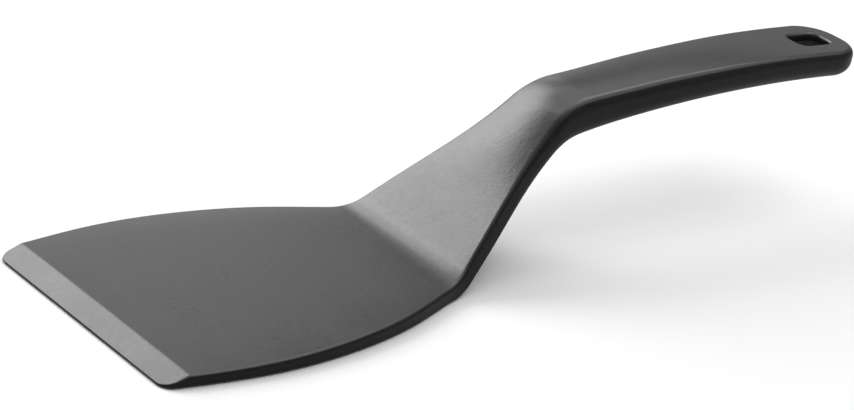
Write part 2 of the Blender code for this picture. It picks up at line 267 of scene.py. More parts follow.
# %% Crown and edge rounding
BLADE_CROWN = 0.00005
GRIP_CROWN = 0.0016
EYE_CROWN = 0.00005
BLADE_TOP_ROUND = 0.0013
BLADE_UNDER_ROUND = 0.0006
GRIP_TOP_ROUND = 0.0032
EYE_TOP_ROUND = 0.0026
GRIP_UNDER_ROUND = 0.0050
CROWN_FULL_AFTER_BEND = 0.010
NECK_SWELL = 0.0005
SWELL_AFTER_HEEL = (0.024, 0.052)
SWELL_AFTER_BEND = (0.005, 0.035)
ROUND_AFTER_HEEL = 0.030
MARGIN_ROLL = 0.00035
ROLL_FROM_FRONT = (0.004, 0.018)
ROLL_AT_HEEL = (-0.005, 0.015)
EYE_STARTS_FROM_END = 0.080
EYE_FULL_FROM_END = 0.020


def ease(at, start, stop):
    """0 before start, 1 after stop, with a smooth run between them."""
    part = np.clip((at - start) / (stop - start), 0.0, 1.0)
    return part * part * (3 - 2 * part)


def blend(first, second, share):
    return first + (second - first) * share


def add_values(mesh, name, kind, values):
    """Writes one attribute value for each point of a mesh."""
    layer = mesh.attributes.new(name, kind, "POINT")
    field = "vector" if kind == "FLOAT_VECTOR" else "value"
    layer.data.foreach_set(field, np.asarray(values, dtype=np.float32).ravel())


# %% Crown, swell, roll and radii at each place
places = np.append(np.arange(0.0, TOTAL, LINE_STEP), TOTAL)
turn_share = ease(places, HEEL_PLACE, BEND_PLACE)
round_share = ease(places, HEEL_PLACE + ROUND_AFTER_HEEL, BEND_PLACE + CROWN_FULL_AFTER_BEND)
eye_share = ease(places, TOTAL - EYE_STARTS_FROM_END, TOTAL - EYE_FULL_FROM_END)
grip_share = ease(places, HEEL_PLACE, BEND_PLACE + CROWN_FULL_AFTER_BEND)
crowns = blend(blend(BLADE_CROWN, GRIP_CROWN, grip_share), EYE_CROWN, eye_share)
swell = NECK_SWELL * ease(places, *(HEEL_PLACE + np.array(SWELL_AFTER_HEEL)))
swell = swell * (1 - ease(places, *(BEND_PLACE + np.array(SWELL_AFTER_BEND))))
rolls = MARGIN_ROLL * ease(places, *ROLL_FROM_FRONT)
rolls = rolls * (1 - ease(places, *(HEEL_PLACE + np.array(ROLL_AT_HEEL))))
top_rounds = blend(BLADE_TOP_ROUND, GRIP_TOP_ROUND, round_share)
top_rounds = blend(top_rounds, EYE_TOP_ROUND, eye_share)
under_rounds = blend(BLADE_UNDER_ROUND, GRIP_UNDER_ROUND, turn_share)
print("highest crown, mm:", round(float((crowns + swell).max()) * 1000, 2))

# %% Heights, widths and directions at each place
above = np.interp(places, TRAVEL, ABOVE)
below = np.interp(places, TRAVEL, BELOW)
bevel = below + EDGE_THICKNESS + (above - below - EDGE_THICKNESS) * places / BEVEL_LENGTH
upper_faces = np.minimum(above, bevel) + swell + rolls / 2
half_widths = smooth_curve(WIDTH_PLACES, WIDTHS / 2, places)
slopes = (smooth_curve(WIDTH_PLACES, WIDTHS / 2, places + LINE_STEP)
          - smooth_curve(WIDTH_PLACES, WIDTHS / 2, places - LINE_STEP)) / (2 * LINE_STEP)
headings = np.interp(places, TRAVEL, HEADINGS)
print("thickness of the front edge, mm:", round(float(upper_faces[0] - below[0]) * 1000, 2))

# %% Build the rail
spine = np.stack([np.interp(places, TRAVEL, MIDDLE_LINE[:, 0]) - REST_POINT,
                  np.zeros(len(places)),
                  np.interp(places, TRAVEL, MIDDLE_LINE[:, 1])], axis=1)
rail_mesh = bpy.data.meshes.new("rail")
rail_mesh.from_pydata(spine.tolist(), [(i, i + 1) for i in range(len(places) - 1)], [])
add_values(rail_mesh, "faces", "FLOAT_VECTOR",
           np.stack([upper_faces, below, half_widths], axis=1))
add_values(rail_mesh, "edges", "FLOAT_VECTOR",
           np.stack([crowns + swell, top_rounds, under_rounds], axis=1))
add_values(rail_mesh, "lean", "FLOAT_VECTOR",
           np.stack([np.sin(headings), np.cos(headings), slopes], axis=1))
add_values(rail_mesh, "roll", "FLOAT", rolls)
rail = bpy.data.objects.new("rail", rail_mesh)
print("rail points:", len(places))

# %% [markdown]
# ## One section, as a template
# All sections share one recipe: across the top, round the edge, down the wall, round
# the lower edge and back under. A profile curve swept along the rail would keep one
# shape, but here blade and grip differ, so a template holds only the recipe. For each
# point of the ring it says which share of the half width it stands at, how far the
# upper and the lower rounding pull it in and let it sink, and whether it belongs to the
# top. Two more values serve the finish: how matt it is, which also sets how much shade
# is painted on it by a darker colour, and how exposed to wear. The points of the faces
# lie closer together towards the edges, where the light turns.

# %% The ring of one section
FACE_COLUMNS = 28
ROUND_STEPS = 9
WALL_STEPS = 4
SHOULDER_TURN = math.radians(10.0)
# From this turn on, the edge is fully matt and fully darkened: painted shade.
FULL_SHADE_TURN = math.radians(50.0)


def matt_and_shade_share(turn):
    """0 up to the shoulder of the rounding, 1 where matt finish and painted shade are full."""
    share = (turn - SHOULDER_TURN) / (FULL_SHADE_TURN - SHOULDER_TURN)
    return min(max(share, 0.0), 1.0)


def section_ring():
    """The ring as rows of eight values, and the number of points on one edge.

    The values are side, pull of the upper and lower rounding, sink of both, top share,
    share of matt finish and painted shade, and wear.
    """
    turns = [math.pi / 2 * i / ROUND_STEPS for i in range(ROUND_STEPS + 1)]
    spread = [math.cos(math.pi * i / FACE_COLUMNS) for i in range(FACE_COLUMNS + 1)]
    edge = [(1 - math.sin(t), 0.0, 1 - math.cos(t), 1.0, 1.0, matt_and_shade_share(t), math.sin(2 * t))
            for t in turns]
    edge += [(0.0, 0.0, 1.0, 1.0, 1 - i / WALL_STEPS, 1.0, 0.0) for i in range(1, WALL_STEPS)]
    edge += [(0.0, 1 - math.sin(t), 1.0, 1 - math.cos(t), 0.0, 1.0, math.sin(2 * t))
             for t in reversed(turns)]
    ring = [(-share, 1.0, 0.0, 0.0, 1.0, 1.0, 0.0, 0.0) for share in spread[:-1]]
    ring += [(1.0,) + point for point in edge]
    ring += [(share, 0.0, 1.0, 1.0, 0.0, 0.0, 1.0, 0.0) for share in spread[1:-1]]
    ring += [(-1.0,) + point for point in reversed(edge)]
    return np.array(ring), len(edge)


RING, EDGE_POINTS = section_ring()
print("points in one section:", len(RING), "of which", EDGE_POINTS, "on each edge")

# %% Store the ring on a template
section_mesh = bpy.data.meshes.new("section template")
section_mesh.from_pydata([(point[0], 0.0, point[5]) for point in RING], [], [])
add_values(section_mesh, "side", "FLOAT", RING[:, 0])
# The share of matt finish also sets the painted shade.
add_values(section_mesh, "matt", "FLOAT", RING[:, 6])
add_values(section_mesh, "arris", "FLOAT", RING[:, 7])
add_values(section_mesh, "pull", "FLOAT_VECTOR", RING[:, [1, 2, 5]])
add_values(section_mesh, "sink", "FLOAT_VECTOR", RING[:, [3, 4, 5]])
section = bpy.data.objects.new("section template", section_mesh)
print("values on the template:", [layer.name for layer in section_mesh.attributes])

# %% [markdown]
# ## Writing a node tree in code
# A tree in code is easier to read when each node is one short call. The maker below
# adds a node, sets its properties, and fills its inputs with numbers or with the
# outputs of other nodes. The same maker serves the shape and the finishes.


# %% A small maker for nodes
def make_node(tree, kind, inputs=(), **settings):
    """Adds a node, sets its properties and fills its inputs in order or by name."""
    node = tree.nodes.new(kind)
    for name, value in settings.items():
        setattr(node, name, value)
    pairs = inputs.items() if isinstance(inputs, dict) else enumerate(inputs)
    for key, value in pairs:
        if isinstance(value, bpy.types.NodeSocket):
            tree.links.new(value, node.inputs[key])
        elif value is not None:
            node.inputs[key].default_value = value
    return node


def calculator(tree):
    """A function that adds one Math node and gives its output."""
    def calc(operation, *values):
        return make_node(tree, "ShaderNodeMath", values, operation=operation).outputs[0]
    return calc


def split(tree, vector):
    """The three parts of a vector."""
    return make_node(tree, "ShaderNodeSeparateXYZ", (vector,)).outputs


# %% [markdown]
# ## The tree of the moulded form
# The real shape comes out of a mould cut to a few sizes, so a tree that works from sizes
# suits it better than moving points by hand. The sizes come in as named inputs, so the
# same tree makes the body, and with an inset the core in the grip and the pocket around
# it. A grid of rows and ring points becomes the long skin, and two small grids close the
# front edge and the end of the grip.

# %% Inputs of the tree
CORNER_ROWS = 12
CREASE_ROWS = 2
FORM_INPUTS = (
    ("Rail", "NodeSocketObject", None), ("Section", "NodeSocketObject", None),
    ("Start", "NodeSocketFloat", 0.0), ("Stop", "NodeSocketFloat", 0.0),
    ("Inset", "NodeSocketFloat", 0.0), ("Front corner", "NodeSocketFloat", 0.0),
    ("End corner", "NodeSocketFloat", 0.0), ("Crease place", "NodeSocketFloat", 0.0),
    ("Crease width", "NodeSocketFloat", 0.0), ("Bevel rows", "NodeSocketInt", 0),
    ("Long rows", "NodeSocketInt", 0), ("Smallest round", "NodeSocketFloat", 0.0006),
    ("Top round share", "NodeSocketFloat", 0.40), ("Flat wall share", "NodeSocketFloat", 0.15),
    ("Upper finish", "NodeSocketMaterial", None),
    ("Shoulder finish", "NodeSocketMaterial", None),
    ("Lower finish", "NodeSocketMaterial", None))

form = bpy.data.node_groups.new("moulded form", "GeometryNodeTree")
for name, kind, value in FORM_INPUTS:
    socket = form.interface.new_socket(name, in_out="INPUT", socket_type=kind)
    if value is not None:
        socket.default_value = value
form.interface.new_socket("Geometry", in_out="OUTPUT", socket_type="NodeSocketGeometry")
given = make_node(form, "NodeGroupInput").outputs
calc = calculator(form)
print("inputs:", ", ".join(name for name, _, _ in FORM_INPUTS))

# %% [markdown]
# ## The three nets
# A Mesh Grid numbers its points column by column, so a division gives the row of a
# point and the remainder gives its place in the ring. Each net stores three attributes:
# its row, its place in the template and its share of the half width. After that the
# nets are joined, and one Set Position can bend them all into shape.


# %% Helpers for the nets
def template_value(slot, name, kind):
    """One value of the template at a place in the ring."""
    shape = make_node(form, "GeometryNodeObjectInfo", (given["Section"],)).outputs["Geometry"]
    value = make_node(form, "GeometryNodeInputNamedAttribute", (name,), data_type=kind)
    return make_node(form, "GeometryNodeSampleIndex", (shape, value.outputs[0], slot),
                     data_type=kind).outputs[0]


def store(net, name, value):
    """The net with one more attribute on its points."""
    return make_node(form, "GeometryNodeStoreNamedAttribute",
                     {"Geometry": net, "Name": name, "Value": value}).outputs[0]


def make_net(rows, columns):
    """A grid with the row and the column of each of its points."""
    grid = make_node(form, "GeometryNodeMeshGrid", (1.0, 1.0, rows, columns)).outputs[0]
    index = make_node(form, "GeometryNodeInputIndex").outputs[0]
    row = calc("FLOOR", calc("DIVIDE", calc("ADD", index, 0.5), float(columns)))
    column = calc("SUBTRACT", index, calc("MULTIPLY", row, float(columns)))
    return grid, row, column


print("nodes so far:", len(form.nodes))

# %% Lay out the nets
fixed_rows = 2 * CORNER_ROWS + CREASE_ROWS
last_row = calc("ADD", calc("ADD", given["Bevel rows"], given["Long rows"]), float(fixed_rows))
grid, row, column = make_net(calc("ADD", last_row, 1.0), len(RING) + 1)
place_in_ring = calc("FLOORED_MODULO", column, float(len(RING)))
skin = store(grid, "row", row)
skin = store(skin, "slot", place_in_ring)
skin = store(skin, "side", template_value(place_in_ring, "side", "FLOAT"))
nets = [skin]
for cap_row in (0.0, last_row):
    grid, strip, column = make_net(FACE_COLUMNS + 1, EDGE_POINTS)
    angle = calc("MULTIPLY", strip, math.pi / FACE_COLUMNS)
    cap = store(grid, "row", calc("ADD", cap_row, 0.0))
    cap = store(cap, "slot", calc("ADD", column, float(FACE_COLUMNS)))
    nets.append(store(cap, "side", calc("COSINE", angle)))
joined = make_node(form, "GeometryNodeJoinGeometry")
for net in nets:
    form.links.new(net, joined.inputs[0])
print("nets:", len(nets), "with", len(RING) + 1, "points across the skin")

# %% [markdown]
# ## From a row to a distance
# The rows aren't spread evenly. They crowd in the round corners of the plan, and two of
# them stand close to the line of the bevel, so that its crease stays crisp. In a corner
# the outline follows a quarter circle, and a run and a rise give the direction in which
# the edge faces.


# %% Shares of the way from row to row
def stored(name):
    """A value that was stored on the nets."""
    return make_node(form, "GeometryNodeInputNamedAttribute", (name,),
                     data_type="FLOAT").outputs[0]


row = stored("row")
slot = stored("slot")
side = stored("side")


def share_of_rows(first, count):
    """0 up to the row first, 1 from count rows after it."""
    share = calc("DIVIDE", calc("SUBTRACT", row, first), count)
    return make_node(form, "ShaderNodeClamp", (share, 0.0, 1.0)).outputs[0]


front_turn = calc("MULTIPLY", share_of_rows(0.0, float(CORNER_ROWS)), math.pi / 2)
end_share = share_of_rows(calc("SUBTRACT", last_row, float(CORNER_ROWS)), float(CORNER_ROWS))
end_turn = calc("MULTIPLY", calc("SUBTRACT", 1.0, end_share), math.pi / 2)
bevel_share = share_of_rows(float(CORNER_ROWS), given["Bevel rows"])
crease_row = calc("ADD", given["Bevel rows"], float(CORNER_ROWS))
crease_share = share_of_rows(crease_row, float(CREASE_ROWS))
long_share = share_of_rows(calc("ADD", crease_row, float(CREASE_ROWS)), given["Long rows"])
print("nodes so far:", len(form.nodes))

# %% Distances of the rows
crease_start = calc("SUBTRACT", given["Crease place"], given["Crease width"])
crease_stop = calc("ADD", given["Crease place"], given["Crease width"])
front_left = calc("SUBTRACT", 1.0, calc("COSINE", front_turn))
front_back = calc("MULTIPLY", given["Front corner"], front_left)
bevel_run = calc("SUBTRACT", crease_start, calc("ADD", given["Start"], given["Front corner"]))
long_run = calc("SUBTRACT", calc("SUBTRACT", given["Stop"], given["End corner"]), crease_stop)
at = calc("ADD", given["Start"], front_back)
at = calc("MULTIPLY_ADD", bevel_share, bevel_run, at)
at = calc("MULTIPLY_ADD", crease_share, calc("SUBTRACT", crease_stop, crease_start), at)
at = calc("MULTIPLY_ADD", long_share, long_run, at)
at = calc("MULTIPLY_ADD", given["End corner"], calc("COSINE", end_turn), at)
print("nodes so far:", len(form.nodes))

# %% Read the rail
rail_shape = make_node(form, "GeometryNodeObjectInfo", (given["Rail"],)).outputs["Geometry"]
rail_curve = make_node(form, "GeometryNodeMeshToCurve", (rail_shape,)).outputs[0]


def read_rail(name, distance):
    """One attribute of the rail at a distance, and the point of the rail there."""
    value = make_node(form, "GeometryNodeInputNamedAttribute", (name,), data_type="FLOAT_VECTOR")
    sample = make_node(form, "GeometryNodeSampleCurve",
                       {"Curves": rail_curve, "Value": value.outputs[0], "Length": distance},
                       mode="LENGTH", data_type="FLOAT_VECTOR")
    return split(form, sample.outputs["Value"]), sample.outputs["Position"]


(top, under, half), _ = read_rail("faces", at)
(crown, top_round, under_round), _ = read_rail("edges", at)
(_, _, slope), _ = read_rail("lean", at)
(roll, _, _), _ = read_rail("roll", at)
print("nodes so far:", len(form.nodes))

# %% Half width and outward direction of a row
front_share = calc("SUBTRACT", 1.0, calc("SINE", front_turn))
front_cut = calc("MULTIPLY", given["Front corner"], front_share)
end_cut = calc("MULTIPLY", given["End corner"], calc("SUBTRACT", 1.0, calc("SINE", end_turn)))
full_half = calc("SUBTRACT", half, given["Inset"])
row_half = calc("SUBTRACT", full_half, calc("ADD", front_cut, end_cut))
run = calc("MULTIPLY", calc("SINE", front_turn), calc("SINE", end_turn))
corner_rise = calc("SUBTRACT", calc("COSINE", front_turn), calc("COSINE", end_turn))
rise = calc("MULTIPLY_ADD", slope, run, corner_rise)
size = calc("SQRT", calc("MULTIPLY_ADD", run, run, calc("MULTIPLY", rise, rise)))
out_along = calc("DIVIDE", calc("MULTIPLY", rise, -1.0), size)
out_across = calc("DIVIDE", run, size)
print("nodes so far:", len(form.nodes))

# %% [markdown]
# ## Rounded edges that fit the wall
# On the thin blade the upper edge has a radius of about a millimetre, and on the grip
# the edges grow to three and five. A Bevel modifier would give one width all along, and
# here it changes. No radius may use up the wall, so each one is limited to a share of
# the wall's height, as a mould maker would do it.

# %% Radii of the two edges
full_wall = calc("SUBTRACT", calc("SUBTRACT", top, under), calc("ADD", crown, roll))
wall = calc("SUBTRACT", full_wall, calc("MULTIPLY", given["Inset"], 2.0))
top_round = calc("MAXIMUM", calc("SUBTRACT", top_round, given["Inset"]), given["Smallest round"])
top_round = calc("MINIMUM", top_round, calc("MULTIPLY", wall, given["Top round share"]))
under_round = calc("MAXIMUM", calc("SUBTRACT", under_round, given["Inset"]),
                   given["Smallest round"])
usable = calc("MULTIPLY", wall, calc("SUBTRACT", 1.0, given["Flat wall share"]))
under_round = calc("MINIMUM", under_round, calc("SUBTRACT", usable, top_round))
print("nodes so far:", len(form.nodes))

# %% [markdown]
# ## Bending the nets into the form
# Each point is pulled in square to the outline by the two roundings, which gives its
# own distance along the rail and its own width. The rail is read again at that
# distance. The crown lowers the face with the square of the width, and the roll with a
# high power of it, so it bites only at the margin. At last the point is set up from the
# middle line, along the lean of the section.

# %% Place of each point along and across
pull_top, pull_under, upper = split(form, template_value(slot, "pull", "FLOAT_VECTOR"))
sink_top, sink_under, _ = split(form, template_value(slot, "sink", "FLOAT_VECTOR"))
back = calc("MULTIPLY_ADD", top_round, pull_top, calc("MULTIPLY", under_round, pull_under))
distance = calc("SUBTRACT", at, calc("MULTIPLY", back, out_along))
width = calc("MULTIPLY", side, calc("SUBTRACT", row_half, calc("MULTIPLY", back, out_across)))
(top, under, half), spine_point = read_rail("faces", distance)
(crown, _, _), _ = read_rail("edges", distance)
(lean_sine, lean_cosine, _), _ = read_rail("lean", distance)
(roll, _, _), _ = read_rail("roll", distance)
print("nodes so far:", len(form.nodes))

# %% Height of each point
ROLL_POWER = 8.0
width_share = calc("DIVIDE", width, half)
crown_drop = calc("MULTIPLY", crown, calc("MULTIPLY", width_share, width_share))
roll_share = calc("POWER", calc("ABSOLUTE", width_share), ROLL_POWER)
crown_drop = calc("MULTIPLY_ADD", roll, roll_share, crown_drop)
top_height = calc("SUBTRACT", calc("SUBTRACT", top, given["Inset"]), crown_drop)
top_height = calc("SUBTRACT", top_height, calc("MULTIPLY", top_round, sink_top))
under_height = calc("MULTIPLY_ADD", under_round, sink_under, calc("ADD", under, given["Inset"]))
height = calc("MULTIPLY_ADD", upper, calc("SUBTRACT", top_height, under_height), under_height)
print("nodes so far:", len(form.nodes))

# %% Move the points and close the skin
MERGE_DISTANCE = 1e-6
spine_x, _, spine_z = split(form, spine_point)
point = make_node(form, "ShaderNodeCombineXYZ", (
    calc("SUBTRACT", spine_x, calc("MULTIPLY", lean_sine, height)), width,
    calc("MULTIPLY_ADD", lean_cosine, height, spine_z))).outputs[0]
shaped = make_node(form, "GeometryNodeSetPosition", {"Geometry": joined.outputs[0],
                                                     "Position": point}).outputs[0]
marked = store(shaped, "matt", template_value(slot, "matt", "FLOAT"))
marked = store(marked, "arris", template_value(slot, "arris", "FLOAT"))
merged = make_node(form, "GeometryNodeMergeByDistance", {"Geometry": marked,
                                                         "Distance": MERGE_DISTANCE}).outputs[0]
real = make_node(form, "GeometryNodeRealizeInstances", (merged,)).outputs[0]
print("nodes so far:", len(form.nodes))

# %% Give the faces their finishes
# The shoulder and lower finishes are darker copies of the satin colour: painted shade.
SHOULDER_SHARE = 0.3
WALL_SHARE = 0.7
matt = stored("matt")
finished = make_node(form, "GeometryNodeSetMaterial", {
    "Geometry": real, "Material": given["Upper finish"]}).outputs[0]
for finish, share in (("Shoulder finish", SHOULDER_SHARE), ("Lower finish", WALL_SHARE)):
    beyond = make_node(form, "FunctionNodeCompare", (matt, share),
                       operation="GREATER_THAN").outputs[0]
    finished = make_node(form, "GeometryNodeSetMaterial", {
        "Geometry": finished, "Selection": beyond, "Material": given[finish]}).outputs[0]
make_node(form, "NodeGroupOutput", (finished,))
print("nodes in the tree:", len(form.nodes))


# %% [markdown]
# ## Getting a plain mesh out of the tree
# The tree runs as a modifier on an empty mesh. Its inputs are set by the identifier of
# their sockets, because two inputs may share a name. The evaluated result becomes a
# plain mesh, so nothing live is left on the finished piece.

# %% Helpers for plain meshes
def link(name, mesh):
    """A new object in the scene with the given mesh."""
    item = bpy.data.objects.new(name, mesh)
    bpy.context.scene.collection.objects.link(item)
    return item


def plain_mesh(item, name):
    """The evaluated shape of an object as a mesh of its own."""
    depsgraph = bpy.context.evaluated_depsgraph_get()
    mesh = bpy.data.meshes.new_from_object(item.evaluated_get(depsgraph))
    mesh.name = name
    return mesh


def close_and_orient(mesh):
    """Merges doubles and turns all faces outwards."""
    work = bmesh.new()
    work.from_mesh(mesh)
    bmesh.ops.remove_doubles(work, verts=work.verts, dist=MERGE_DISTANCE)
    bmesh.ops.recalc_face_normals(work, faces=work.faces)
    open_edges = sum(1 for edge in work.edges if len(edge.link_faces) != 2)
    work.to_mesh(mesh)
    work.free()
    return open_edges


print("the tree has", len(form.nodes), "nodes and", len(form.links), "links")


# %% Run the tree
def moulded_form(name, sizes):
    """A closed solid from the tree, with its inputs given by name."""
    item = link(name, bpy.data.meshes.new(name + " seed"))
    modifier = item.modifiers.new("form", "NODES")
    modifier.node_group = form
    for socket in form.interface.items_tree:
        if socket.in_out == "INPUT" and socket.name in sizes:
            modifier[socket.identifier] = sizes[socket.name]
    mesh = plain_mesh(item, name)
    item.modifiers.clear()
    item.data = mesh
    for layer in ("row", "slot", "side", "matt"):
        mesh.attributes.remove(mesh.attributes[layer])
    open_edges = close_and_orient(mesh)
    print(name, "faces:", len(mesh.polygons), "open edges:", open_edges)
    return item


# %% [markdown]
# ## The finish of the plastic
# The real plastic looks like a nylon filled with glass, nearly black and satin. Its
# colour is a little cloudy, and the grain of the mould breaks up the gloss. Noise at
# four scales does this: a wide one for the clouds, a middle one for faint mottling, and
# two fine ones for shallow pits and the grain, which go to the bump. An image would need
# an unwrapped surface, and noise that reads Object coordinates doesn't.
#
# The exposed edges are a touch paler and smoother where they were rubbed. Over the
# upper rounding the satin gives way to a matt wall, because the photograph shows dark
# walls and no bright rim. The shoulder and the wall also take darker copies of the
# satin colour, which is painted shade. Nodes could fade the specular level over the
# rounding, but an exported model keeps one level for each finish, so the change takes
# three finishes.

# %% Values of the finish
CLOUDS = (45.0, 3.0)
MOTTLE = (420.0, 2.0)
PITS = (800.0, 2.0)
GRAIN = (2600.0, 1.0)
GRAIN_HEIGHT = 0.000014
PIT_SHARE = 2.6
TINT_RANGE = (0.7, 1.3)
WEAR_RANGE = (0.1, 0.6)
WORN_COLOUR = (0.030, 0.030, 0.031, 1.0)
WORN_SHARE = 0.2
WORN_POLISH = -0.02
FIRST_COLOUR, SECOND_COLOUR, MIXED_COLOUR = 6, 7, 2
print("scales of the noise, smallest first:", CLOUDS[0], MOTTLE[0], PITS[0], GRAIN[0])


# %% Helpers for the finish
def surface_noise(tree, scale, detail):
    """Noise that stays with the object."""
    where = make_node(tree, "ShaderNodeTexCoord").outputs["Object"]
    return make_node(tree, "ShaderNodeTexNoise",
                     {"Vector": where, "Scale": scale, "Detail": detail}).outputs["Fac"]


def to_range(tree, value, known, wanted):
    """A value carried from one range to another."""
    return make_node(tree, "ShaderNodeMapRange", (value, *known, *wanted)).outputs[0]


def mix_colours(tree, share, first, second):
    """A mix of two colours, each given as numbers or as an output."""
    return make_node(tree, "ShaderNodeMix", {"Factor": share, FIRST_COLOUR: first,
                                             SECOND_COLOUR: second},
                     data_type="RGBA").outputs[MIXED_COLOUR]


def plastic(name, dark, light, roughnesses, specular):
    """A moulded plastic with clouds, mottling, pits and a fine grain."""
    material = bpy.data.materials.new(name)
    material.use_nodes = True
    tree = material.node_tree
    maths = calculator(tree)
    shader = tree.nodes["Principled BSDF"]
    clouds = surface_noise(tree, *CLOUDS)
    mottle = surface_noise(tree, *MOTTLE)
    exposed = make_node(tree, "ShaderNodeAttribute", attribute_name="arris").outputs["Fac"]
    worn = to_range(tree, maths("MULTIPLY", exposed, mottle), WEAR_RANGE, (0.0, WORN_SHARE))
    both = maths("ADD", clouds, mottle)
    tint = to_range(tree, both, TINT_RANGE, (0.0, 1.0))
    colour = mix_colours(tree, worn, mix_colours(tree, tint, dark, light), WORN_COLOUR)
    tree.links.new(colour, shader.inputs["Base Color"])
    dull = to_range(tree, both, TINT_RANGE, roughnesses)
    tree.links.new(maths("MULTIPLY_ADD", worn, WORN_POLISH, dull), shader.inputs["Roughness"])
    height = maths("MULTIPLY_ADD", surface_noise(tree, *PITS), PIT_SHARE,
                   surface_noise(tree, *GRAIN))
    bump = make_node(tree, "ShaderNodeBump", {"Strength": 1.0, "Distance": GRAIN_HEIGHT,
                                              "Height": height})
    tree.links.new(bump.outputs[0], shader.inputs["Normal"])
    shader.inputs["Specular IOR Level"].default_value = specular
    return material


# %% Make the four finishes
body_finish = plastic("satin_black_plastic", (0.0145, 0.0145, 0.0150, 1.0),
                      (0.0215, 0.0212, 0.0215, 1.0), (0.27, 0.33), 0.80)
# The half matt and the matt finishes repeat the satin colour darker: painted shade on the
# shoulder and the wall, on top of their real matt surface.
half_shaded_shoulder_finish = plastic("half_matt_black_plastic", (0.0110, 0.0110, 0.0114, 1.0),
                          (0.0160, 0.0158, 0.0160, 1.0), (0.34, 0.42), 0.40)
shaded_wall_finish = plastic("matt_black_plastic", (0.0075, 0.0075, 0.0078, 1.0),
                      (0.0110, 0.0110, 0.0112, 1.0), (0.46, 0.56), 0.15)
core_finish = plastic("matt_grey_core_plastic", (0.026, 0.0255, 0.025, 1.0),
                      (0.036, 0.0352, 0.0345, 1.0), (0.50, 0.62), 0.40)
print("finishes:", [material.name for material in bpy.data.materials
                    if "plastic" in material.name])

# %% [markdown]
# ## The body and the core
# A thick grip of solid plastic would sink as it cools, so it holds a core that the
# outer skin is moulded over. Only the hanging hole shows the core. It is the same form
# with an inset, and the pocket around it is that form again, a hair larger.

# %% Make the body
CORNER_RADIUS = 0.0043
END_RADIUS = 0.0126
CREASE_WIDTH = 0.00010
BEVEL_ROWS = 6
BODY_ROWS = 280

body = moulded_form("turner_skin", {
    "Rail": rail, "Section": section, "Start": 0.0, "Stop": TOTAL, "Inset": 0.0,
    "Front corner": CORNER_RADIUS, "End corner": END_RADIUS, "Crease place": BEVEL_LENGTH,
    "Crease width": CREASE_WIDTH, "Bevel rows": BEVEL_ROWS, "Long rows": BODY_ROWS,
    "Upper finish": body_finish, "Shoulder finish": half_shaded_shoulder_finish,
    "Lower finish": shaded_wall_finish})

# %% Make the core and its pocket
SKIN = 0.0028
CLEARANCE = 0.0003
CORE_AFTER_BEND = 0.006
CORE_NOSE_RADIUS = 0.0060
CORE_ROWS = 110


def core_form(name, inset, grow, finish):
    """The form inside the skin, longer at its nose by the given growth."""
    start = BEND_PLACE + CORE_AFTER_BEND - grow
    nose = CORE_NOSE_RADIUS + grow
    return moulded_form(name, {
        "Rail": rail, "Section": section, "Start": start, "Stop": TOTAL - inset,
        "Inset": inset, "Front corner": nose, "End corner": END_RADIUS - inset,
        "Crease place": start + nose, "Crease width": 0.0, "Bevel rows": 1,
        "Long rows": CORE_ROWS, "Upper finish": finish, "Shoulder finish": finish,
        "Lower finish": finish})


pocket = core_form("core_pocket", SKIN - CLEARANCE, CLEARANCE, shaded_wall_finish)
core = core_form("grip_core", SKIN, 0.0, core_finish)

# %% [markdown]
# ## The hanging hole
# A rail's hook goes through this hole. It is a rectangle with round corners, and its rim
# is a quarter round on both faces, so the cutter flares like a trumpet where it meets
# them. A hole could be left in the grid instead, but its rows don't follow the round
# corners. An exact boolean takes it out of the body and of the core alike, so their
# walls stay flush inside the hole.

# %% Outline of the hole
HOLE_LENGTH = 0.0141
HOLE_WIDTH = 0.0102
HOLE_CORNER = 0.0030
HOLE_FROM_END = 0.0150
HOLE_RIM = 0.0011
HOLE_STEPS = 10
RIM_STEPS = 7
HOLE_PLACE = TOTAL - HOLE_FROM_END


def rounded_rectangle(length, width, corner):
    """Points round a rectangle with round corners, centred on the origin."""
    points = []
    for sign_x, sign_y, turn in ((1, 1, 0), (-1, 1, 1), (-1, -1, 2), (1, -1, 3)):
        for i in range(HOLE_STEPS + 1):
            angle = math.pi / 2 * (turn + i / HOLE_STEPS)
            points.append((sign_x * (length / 2 - corner) + corner * math.cos(angle),
                           sign_y * (width / 2 - corner) + corner * math.sin(angle)))
    return points


def read_line(values, at):
    """A value of the middle line at a distance along it."""
    return float(np.interp(at, TRAVEL, values))


HOLE_LEAN = read_line(HEADINGS, HOLE_PLACE)
HOLE_CENTRE = Vector((read_line(MIDDLE_LINE[:, 0], HOLE_PLACE) - REST_POINT, 0.0,
                      read_line(MIDDLE_LINE[:, 1], HOLE_PLACE)))
HOLE_UP = Vector((-math.sin(HOLE_LEAN), 0.0, math.cos(HOLE_LEAN)))
HOLE_ALONG = Vector((math.cos(HOLE_LEAN), 0.0, math.sin(HOLE_LEAN)))
print("centre of the hole, mm:", [round(part * 1000, 1) for part in HOLE_CENTRE])


